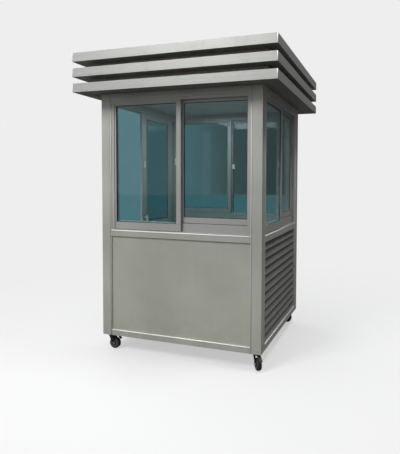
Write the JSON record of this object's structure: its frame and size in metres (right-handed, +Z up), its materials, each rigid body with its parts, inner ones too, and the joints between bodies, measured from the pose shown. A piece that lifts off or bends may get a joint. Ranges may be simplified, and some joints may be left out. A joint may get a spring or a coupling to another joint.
{
  "type": "security guard booth",
  "caption": "Free-standing prefabricated guard booth on swivel casters, glazed all round, with a sliding side door and a flat roof behind stacked fascia bands.",
  "frame": {"origin": "on the floor, under the middle of the roof and of the cabin", "axes": "+Z up, -Y out of the front wall with the flat lower panel, +X out of the right wall, door in the left wall at -X"},
  "size_m": [1.83, 1.59, 2.613],
  "materials": {
    "frame_paint": "satin warm light-grey powder coat",
    "panel_paint": "satin light-grey coated steel sheet",
    "sash_paint": "satin light-grey window profile",
    "rail_metal": "satin aluminium track profile",
    "fascia_silver": "brushed silver cladding",
    "roof_dark": "matt dark-grey coating",
    "ceiling_panel": "satin pale ceiling sheet",
    "floor_sheet": "worn tread sheet",
    "window_glass": "clear blue-green tinted glass",
    "white_plastic": "semi-gloss white",
    "zinc": "bright zinc plate",
    "wheel_rubber": "matt black rubber"
  },
  "bodies": {
    "booth": {"post_front_left": "frame_paint", "post_front_right": "frame_paint", "post_rear_left": "frame_paint", "post_rear_right": "frame_paint", "base_rails": "frame_paint", "floor_panel": "floor_sheet", "sill_rails": "frame_paint", "head_rails": "frame_paint", "front_panel": "panel_paint", "right_panel": "panel_paint", "rear_panel": "panel_paint", "front_window_frame": "rail_metal", "front_sashes": "sash_paint", "front_glass": "window_glass", "right_window_frame": "rail_metal", "right_sashes": "sash_paint", "right_glass": "window_glass", "rear_window_frame": "rail_metal", "rear_sashes": "sash_paint", "rear_glass": "window_glass", "window_locks": "white_plastic", "door_frame": "rail_metal", "side_light_frame": "sash_paint", "side_light_panel": "panel_paint", "side_light_glass": "window_glass", "soffit_board": "roof_dark", "ceiling": "ceiling_panel", "roof_core": "roof_dark", "roof_deck": "fascia_silver", "fascia_lower": "fascia_silver", "fascia_middle": "fascia_silver", "fascia_upper": "fascia_silver", "caster_plates": "zinc"},
    "door": {"door_leaf": "sash_paint", "door_panel": "panel_paint", "door_glass": "window_glass", "door_handle": "white_plastic"},
    "swivel_front_left": {"fork_front_left": "zinc"},
    "roller_front_left": {"wheel_front_left": "wheel_rubber"},
    "swivel_front_right": {"fork_front_right": "zinc"},
    "roller_front_right": {"wheel_front_right": "wheel_rubber"},
    "swivel_rear_left": {"fork_rear_left": "zinc"},
    "roller_rear_left": {"wheel_rear_left": "wheel_rubber"},
    "swivel_rear_right": {"fork_rear_right": "zinc"},
    "roller_rear_right": {"wheel_rear_right": "wheel_rubber"}
  },
  "joints": [
    {"name": "door_slide", "type": "slide", "parent": "booth", "child": "door", "axis": [0, -1, 0], "range_m": [-0.059, 0.4]},
    {"name": "swivel_front_left", "type": "hinge", "parent": "booth", "child": "swivel_front_left", "pos_m": [-0.695, -0.575, 0.1], "axis": [0, 0, 1], "continuous": true},
    {"name": "roll_front_left", "type": "hinge", "parent": "swivel_front_left", "child": "roller_front_left", "pos_m": [-0.663, -0.575, 0.05], "axis": [0, -1, 0], "continuous": true},
    {"name": "swivel_front_right", "type": "hinge", "parent": "booth", "child": "swivel_front_right", "pos_m": [0.695, -0.575, 0.1], "axis": [0, 0, 1], "continuous": true},
    {"name": "roll_front_right", "type": "hinge", "parent": "swivel_front_right", "child": "roller_front_right", "pos_m": [0.71557, -0.59951, 0.05], "axis": [-0.766, -0.6428, 0], "continuous": true},
    {"name": "swivel_rear_left", "type": "hinge", "parent": "booth", "child": "swivel_rear_left", "pos_m": [-0.695, 0.575, 0.1], "axis": [0, 0, 1], "continuous": true},
    {"name": "roll_rear_left", "type": "hinge", "parent": "swivel_rear_left", "child": "roller_rear_left", "pos_m": [-0.727, 0.575, 0.05], "axis": [0, 1, 0], "continuous": true},
    {"name": "swivel_rear_right", "type": "hinge", "parent": "booth", "child": "swivel_rear_right", "pos_m": [0.695, 0.575, 0.1], "axis": [0, 0, 1], "continuous": true},
    {"name": "roll_rear_right", "type": "hinge", "parent": "swivel_rear_right", "child": "roller_rear_right", "pos_m": [0.663, 0.575, 0.05], "axis": [0, 1, 0], "continuous": true}
  ]
}
